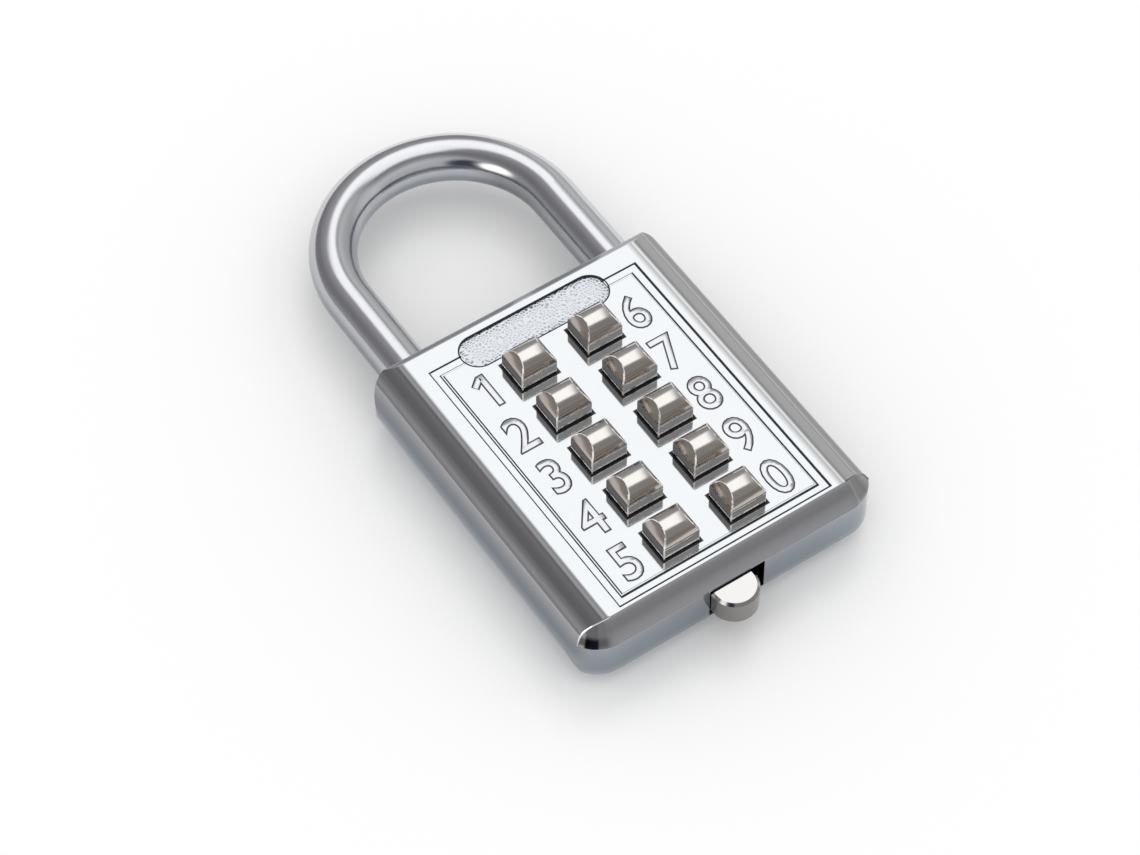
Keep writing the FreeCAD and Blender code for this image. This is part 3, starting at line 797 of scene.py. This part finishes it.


# %% [markdown]
# A narrow bevel on all edges catches the light, as the tumbled edges of a real cap do. The bevels
# that face up or down the keypad take the pale finish as a painted highlight, and so do a strip along
# the cap's foot and one under the barrel, also painted highlights. For these strips the walls are cut
# at the right heights, so that a strip can take the other finish.

# %% Button caps
cap_edge = 0.14 * mm
sharp_angle = math.radians(25)
least_highlight_tilt = 0.2
least_wall_tilt = 0.9
foot_highlight = (face_z + 0.36 * mm, face_z + 0.66 * mm)
shoulder_highlight = (face_z + 1.80 * mm, face_z + 1.92 * mm)


def button_cap(digit):
    """One cap with painted highlights on its edges, in place of its button."""
    build = cap_block(*button_boxes[digit])
    sharp = [e for e in build.edges if e.calc_face_angle(0) > sharp_angle]
    rounded = bmesh.ops.bevel(
        build, geom=sharp, offset=cap_edge, offset_type="OFFSET", segments=2, profile=0.5,
        affect="EDGES", clamp_overlap=True, material=-1,
    )
    for face in rounded["faces"]:
        if abs(face.normal.y) > least_highlight_tilt:
            face.material_index = 1
    for level in foot_highlight + shoulder_highlight:
        bmesh.ops.bisect_plane(build, geom=everything(build), plane_co=(0, 0, level), plane_no=(0, 0, 1))
    for face in build.faces:
        height = face.calc_center_median().z
        is_wall = abs(face.normal.y) > least_wall_tilt
        on_shoulder = is_wall and shoulder_highlight[0] < height < shoulder_highlight[1]
        if foot_highlight[0] < height < foot_highlight[1] or on_shoulder:
            face.material_index = 1
    finishes = [button_finish, edge_highlight_finish]
    piece = finish_piece("cap_" + digit, build, finishes, "button_" + digit, 20)
    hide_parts("button_" + digit)
    return piece


caps = [button_cap(digit) for digit in digits]
print("caps:", len(caps), "with", len(caps[0].data.polygons), "faces each")

# %% [markdown]
# A coil spring stands under the flange of each button, and a pressed button shortens it. A stiff
# copy of the coil would run through the flange, and a lattice or a new coil for each pose is more
# than it needs. Here the imported coil is copied and merged in place of the packed one, and the share
# of its height that it keeps when its button is fully down is worked out; it is not flattened.

# %% Springs under the buttons
def shortening_coil(digit):
    """Puts a merged copy of a packed coil in its place, and tells how much height a pressed coil keeps."""
    node_name = "button_spring_" + digit
    joint_name = "button_" + digit + "_press"
    joint = next(joint for joint in frame["joints"] if joint["name"] == joint_name)
    foot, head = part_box(node_name)
    build = bmesh.new()
    build.from_mesh(frame["nodes"][node_name].data)
    bmesh.ops.remove_doubles(build, verts=build.verts, dist=0.002 * mm)
    coil = finish_piece("coil_" + digit, build, [spring_finish], "case")
    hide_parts(node_name)
    keep = 1 - joint["range_m"][1] / (head[2] - foot[2])
    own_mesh(coil)
    return keep


print("a pressed coil keeps", round(min(shortening_coil(digit) for digit in digits), 2), "of its height")

# %% [markdown]
# The marks on the face are closed rings of low metal. A curve with a profile could draw them, but
# mitred corners are simpler from a flat face: it is inset, its middle is moved to the inner
# rectangle and taken out, and the rest is raised.

# %% Rectangular rings
def raise_faces(build, faces, height):
    """Gives flat faces a height."""
    raised = bmesh.ops.extrude_face_region(build, geom=faces)["geom"]
    lifted = [v for v in raised if isinstance(v, bmesh.types.BMVert)]
    bmesh.ops.translate(build, verts=lifted, vec=(0, 0, height))


def ring(build, outer, inner, bottom, top):
    """Rectangular rail between two rectangles, each given by its low and high corner."""
    low, high = outer
    middle = (low + high) / 2
    made = bmesh.ops.create_grid(build, x_segments=1, y_segments=1, size=0.5)["verts"]
    bmesh.ops.scale(build, verts=made, vec=(high.x - low.x, high.y - low.y, 1))
    bmesh.ops.translate(build, verts=made, vec=(middle.x, middle.y, bottom))
    face = made[0].link_faces[0]
    bmesh.ops.inset_region(build, faces=[face], thickness=0.01 * mm, use_boundary=True)
    rim = list(dict.fromkeys(f for v in made for f in v.link_faces if f != face))
    for corner in face.verts:
        corner.co.x = inner[0].x if corner.co.x < middle.x else inner[1].x
        corner.co.y = inner[0].y if corner.co.y < middle.y else inner[1].y
    bmesh.ops.delete(build, geom=[face], context="FACES_ONLY")
    raise_faces(build, rim, top - bottom)


# %% [markdown]
# The face carries a sunk frame line round the keypad, which the bare plaque breaks at the top. The
# photograph shows it as fine dark lines with a bright rib between, where the groove's walls fall in
# shade. So the imported groove gets a rib that fills it flush, and thin dark lines of painted shade lie
# on the face at the edges, each side with its own width. Where the plaque is, the rails are cut
# across and the bridge is taken out.

# %% Frame line
groove_depth = 0.25 * mm
film = 0.01 * mm
plaque_half = 10.4 * mm
plaque_radius = 2.43 * mm
plaque_y = 18.72 * mm
plaque_depth = 0.3 * mm
gap_half = plaque_half - 0.25 * mm

# Each rail, in mm: its left, low, right and high edge, then its width on those four sides.
rib = [(-14.59, -20.43, 14.59, 18.98, 0.94, 0.94, 0.94, 0.94)]
shade_rails = [
    (-14.72, -20.75, 15.04, 19.29, 0.14, 0.20, 0.33, 0.25),
    (-13.86, -19.85, 13.87, 18.18, 0.17, 0.31, 0.22, 0.07),
    (-13.55, -19.38, 13.56, 17.90, 0.17, 0.04, 0.03, 0.01),
]


def frame_rails(name, rails, bottom, top, finish):
    """Rails round the whole frame, open where the plaque breaks it."""
    build = bmesh.new()
    for left, low, right, high, left_width, low_width, right_width, high_width in rails:
        outer = (Vector((left, low)) * mm, Vector((right, high)) * mm)
        inner_low = Vector((left + left_width, low + low_width)) * mm
        inner_high = Vector((right - right_width, high - high_width)) * mm
        ring(build, outer, (inner_low, inner_high), bottom, top)
    for side in (-1, 1):
        bmesh.ops.bisect_plane(
            build, geom=everything(build), plane_co=(side * gap_half, 0, 0), plane_no=(side, 0, 0),
        )
    centres = {face: face.calc_center_median() for face in build.faces}
    bridge = [f for f, c in centres.items() if abs(c.x) < gap_half and c.y > plaque_y - plaque_radius]
    bmesh.ops.delete(build, geom=bridge, context="FACES")
    bmesh.ops.holes_fill(build, edges=[e for e in build.edges if e.is_boundary])
    return finish_piece(name, build, [finish], "case")


frame_rails("frame_rib", rib, face_z - groove_depth, face_z, case_finish)
frame_lines = frame_rails("frame_lines", shade_rails, face_z, face_z + film, shade_line_finish)
print("frame lines:", len(frame_lines.data.polygons), "faces")

# %% [markdown]
# Where the round side meets the bevel of the bottom corner, handling has polished the crease to a
# narrow round: a mirror on the left, and on the right a darker metal, painted shade of the right
# side. Its course is a cut between two curved surfaces, which no simple arc follows, so it is read
# from the shell itself: merged, the shell has sharp edges there, and a thin rod is laid along them.

# %% Finding the crease
crease_corner = (15.5 * mm, -16 * mm, 7.5 * mm)
crease_least_rise = 0.02 * mm
crease_least_angle = 0.2


def crease_points(shell, side):
    """Corners of the shell's sharp edges in one bottom corner, from low to high."""
    points = set()
    for edge in shell.edges:
        ends = [v.co for v in edge.verts]
        in_corner = all(
            side * p.x > crease_corner[0] and p.y < crease_corner[1] and p.z > crease_corner[2]
            for p in ends
        )
        rises = abs(ends[0].z - ends[1].z) > crease_least_rise
        if in_corner and rises and edge.calc_face_angle(0) > crease_least_angle:
            points.update(p.to_tuple(7) for p in ends)
    return sorted(points, key=lambda p: p[2])


# %% [markdown]
# A curve with a round bevel makes the rod, and its ends are capped. It becomes a mesh before it is
# handed over, because the piece has to be one.

# %% Polished crease at the two bottom corners
crease_radius = 0.11 * mm


def mesh_of(name, data):
    """Mesh of a curve or of words."""
    holder = bpy.data.objects.new(name, data)
    bpy.context.scene.collection.objects.link(holder)
    made = bpy.data.meshes.new_from_object(holder.evaluated_get(bpy.context.evaluated_depsgraph_get()))
    bpy.data.objects.remove(holder)
    return made


def crease_rod(name, points, finish):
    """Thin rod through the points of a crease."""
    crease = bpy.data.curves.new(name, "CURVE")
    crease.dimensions = "3D"
    crease.bevel_depth = crease_radius
    crease.bevel_resolution = 2
    crease.use_fill_caps = True
    spline = crease.splines.new("POLY")
    spline.points.add(len(points) - 1)
    for spot, point in zip(spline.points, points):
        spot.co = (*point, 1)
    rod = mesh_of(name, crease)
    build = bmesh.new()
    build.from_mesh(rod)
    bpy.data.meshes.remove(rod)
    finish_piece(name, build, [finish], "case")
    print(name, len(points), "points")


shell = bmesh.new()
shell.from_mesh(frame["nodes"]["case_body"].data)
bmesh.ops.remove_doubles(shell, verts=shell.verts, dist=0.001 * mm)
crease_rod("crease_left", crease_points(shell, -1), digit_finish)
crease_rod("crease_right", crease_points(shell, 1), crease_shade_finish)
shell.free()

# %% [markdown]
# The plaque is bare but stippled with a punch, so that light scatters from it. Its floor is a fine
# grid cut to the pill shape, with small pits in staggered rows that wander, deeper near the rim. A
# bump in the finish would look alike from above, but not at a slant, so the pits are in the mesh.
# The same height paints shade into the pits in the finish. The noise is given a seed, because without
# one it takes the clock, and the rows would wander in another way each time.

# %% Stippled plaque
stipple_pitch = 0.075 * mm
stipple_height = 0.08 * mm
stipple_rim = 1.2 * mm
least_strength = 0.42
pit_spacing = 0.47 * mm
pit_radius = 0.17 * mm
pit_wander = 0.60 * mm
wander_size = 1.1 * mm
plaque_floor = face_z - plaque_depth


def rim_distance(point):
    """How far a point of the plaque lies inside its pill-shaped rim; negative outside."""
    along = max(abs(point.x) - (plaque_half - plaque_radius), 0)
    return plaque_radius - math.hypot(along, point.y - plaque_y)


def pit_distance(point):
    """How far a point lies from the nearest pit of the staggered rows, which wander a little."""
    drift = noise.noise_vector(point / wander_size) * pit_wander
    row_spacing = pit_spacing * math.sqrt(3) / 2
    row = round((point.y + drift.y) / row_spacing)
    along = point.x + drift.x - (row % 2) * pit_spacing / 2
    beside = along - round(along / pit_spacing) * pit_spacing
    return math.hypot(beside, point.y + drift.y - row * row_spacing)


noise.seed_set(1)
stipple_build = bmesh.new()
columns = round(2 * plaque_half / stipple_pitch)
rows = round(2 * plaque_radius / stipple_pitch)
grid = bmesh.ops.create_grid(stipple_build, x_segments=columns, y_segments=rows, size=0.5)["verts"]
bmesh.ops.scale(stipple_build, verts=grid, vec=(2 * plaque_half, 2 * plaque_radius, 1))
bmesh.ops.translate(stipple_build, verts=grid, vec=(0, plaque_y, plaque_floor + film))
outside = [v for v in stipple_build.verts if rim_distance(v.co) < 0.02 * mm]
bmesh.ops.delete(stipple_build, geom=outside, context="VERTS")
for point in stipple_build.verts:
    pit = max(0.0, 1 - pit_distance(point.co) / pit_radius)
    near_rim = max(0.0, 1 - rim_distance(point.co) / stipple_rim)
    strength = least_strength + (1 - least_strength) * near_rim
    point.co.z += stipple_height * (1 - pit * strength)
add_tone(plaque_finish, "Object", "Z", plaque_floor, plaque_floor + film + stipple_height, [
    (0.00, (0.16, 0.17, 0.20)),
    (0.55, (0.40, 0.42, 0.46)),
    (0.85, (0.92, 0.94, 0.98)),
    (1.00, (1.00, 1.00, 1.00)),
])
stipple = finish_piece("plaque_stipple", stipple_build, [plaque_finish], "case", 60)
print("stipple:", len(stipple.data.polygons), "faces")

# %% [markdown]
# A dark line of painted shade runs round the plaque, where its rim turns down. Its outline is made of
# two circles whose inner halves are deleted and whose ends are joined, then inset and raised as the rings are.

# %% Rim of the plaque
rim_grow = 0.06 * mm
rim_width = 0.17 * mm


def plaque_outline(build, z, grow):
    """Pill-shaped face: the outer halves of two circles, joined."""
    made = []
    for side in (-1, 1):
        place = Matrix.Translation((side * (plaque_half - plaque_radius), plaque_y, z))
        circle = bmesh.ops.create_circle(build, segments=64, radius=plaque_radius + grow, matrix=place)
        made += circle["verts"]
    for side in (-1, 1):
        inner = [
            v for v in made if v.is_valid and side * v.co.x > 0
            and side * v.co.x < plaque_half - plaque_radius - 0.01 * mm
        ]
        bmesh.ops.delete(build, geom=inner, context="VERTS")
    made = [v for v in made if v.is_valid]
    ends = [v for v in made if len(v.link_edges) == 1]
    for level in (-1, 1):
        build.edges.new([v for v in ends if level * (v.co.y - plaque_y) > 0])
    loop = list(dict.fromkeys(e for v in made for e in v.link_edges))
    return bmesh.ops.contextual_create(build, geom=loop)["faces"][0]


rim_build = bmesh.new()
rim_inner = plaque_outline(rim_build, plaque_floor + film, rim_grow)
bmesh.ops.inset_region(
    rim_build, faces=[rim_inner], thickness=rim_width, use_boundary=True, use_even_offset=True,
)
bmesh.ops.delete(rim_build, geom=[rim_inner], context="FACES_ONLY")
raise_faces(rim_build, rim_build.faces[:], plaque_depth)
rim_line = finish_piece("plaque_rim", rim_build, [shade_line_finish], "case")
print("rim:", len(rim_line.data.polygons), "faces")

# %% [markdown]
# Each button stands in its own window, and a dark line shows where the two part. The line is a low
# collar, dark with the painted shade of the gap, that stands on the face round the window and leaves
# the cap room to slide, and a film of painted shade lies round it. Both are rings, gathered in one piece each.

# %% Window lines round the buttons
window_build = bmesh.new()
shade_build = bmesh.new()
window_gap = 0.05 * mm
window_line = 0.12 * mm
collar_height = 0.08 * mm
shade_width = 0.15 * mm
for low, high in button_boxes.values():
    middle = ((low + high) / 2).to_2d()
    half = Vector(((high.x - low.x) / 2 + window_gap, cap_half_height + window_gap))
    line_half = half + Vector((window_line, window_line))
    shade_half = line_half + Vector((shade_width, shade_width))
    inner = (middle - half, middle + half)
    outer = (middle - line_half, middle + line_half)
    ring(window_build, outer, inner, face_z, face_z + collar_height)
    ring(shade_build, (middle - shade_half, middle + shade_half), outer, face_z, face_z + film)
collars = finish_piece("window_lines", window_build, [gap_shade_finish], "case")
finish_piece("window_shades", shade_build, [shade_finish], "case")
print("collars:", len(collars.data.polygons), "faces")

# %% [markdown]
# The digits are raised strokes with a bright top and sloping edges in a dark colour, painted shade.
# Blender's own plain font gives their shape, and its bevel makes the slope; drawing ten digits by
# hand would be long. Each is made a mesh and moved to its row. The font's 1 is a bare bar, so its
# flag is a copy of the bar, shortened and turned about its tip.

# %% One digit
digit_size = 7.15 * mm
digit_x = 10.6 * mm
digit_width_share = 0.89
digit_height_share = 0.35
digit_slope = 0.21 * mm
flag_share = 0.33
flag_turn = math.radians(-52)


def digit_shape(digit):
    """Mesh of one digit of the plain font, with sloping edges."""
    words = bpy.data.curves.new("digit_" + digit, "FONT")
    words.body = digit
    words.size = digit_size
    words.extrude = 0.001 * mm
    words.bevel_depth = digit_slope
    words.bevel_resolution = 0
    words.resolution_u = 4
    return mesh_of("digit_" + digit, words)


def add_flag(build, bar):
    """Adds the flag of the 1, and returns its corners."""
    own = set(bar)
    flag = bmesh.ops.duplicate(build, geom=bar + [f for f in build.faces if f.verts[0] in own])
    points = [v for v in flag["geom"] if isinstance(v, bmesh.types.BMVert)]
    tip = max(points, key=lambda v: v.co.y).co.copy()
    bmesh.ops.scale(build, verts=points, vec=(1, flag_share, 1), space=Matrix.Translation(-tip))
    bmesh.ops.rotate(build, verts=points, cent=tip, matrix=Matrix.Rotation(flag_turn, 3, "Z"))
    return points


def place_digit(build, digit):
    """Adds one digit to the build, centred beside its button."""
    shape = digit_shape(digit)
    before = len(build.verts)
    build.from_mesh(shape)
    bpy.data.meshes.remove(shape)
    build.verts.ensure_lookup_table()
    made = build.verts[before:]
    if digit == "1":
        made += add_flag(build, made)
    low, high = button_boxes[digit]
    middle = (low + high) / 2
    xs = [v.co.x for v in made]
    ys = [v.co.y for v in made]
    centre = Vector(((min(xs) + max(xs)) / 2, (min(ys) + max(ys)) / 2, 0))
    bmesh.ops.translate(build, verts=made, vec=-centre)
    bmesh.ops.scale(build, verts=made, vec=(digit_width_share, 1, digit_height_share))
    bmesh.ops.translate(build, verts=made, vec=(math.copysign(digit_x, middle.x), middle.y, face_z))


# %% [markdown]
# All ten are cut at the face, so that no half hides in the case. Faces that look straight up stay
# bright, and those that look sideways get the dark finish, painted shade.

# %% Digits
least_bright_tilt = 0.99
digit_build = bmesh.new()
for digit in digits:
    place_digit(digit_build, digit)
bmesh.ops.remove_doubles(digit_build, verts=digit_build.verts, dist=0.001 * mm)
bmesh.ops.bisect_plane(
    digit_build, geom=everything(digit_build),
    plane_co=(0, 0, face_z), plane_no=(0, 0, -1), clear_outer=True,
)
bmesh.ops.recalc_face_normals(digit_build, faces=digit_build.faces)
for face in digit_build.faces:
    face.material_index = 0 if abs(face.normal.z) > least_bright_tilt else 1
digit_marks = finish_piece("digits", digit_build, [digit_finish, slope_finish], "case")
print("digits:", len(digit_marks.data.polygons), "faces")

# %% [markdown]
# Last, colours are shown as they are, without a film look.

# %% Finish
bpy.context.scene.view_settings.view_transform = "Standard"
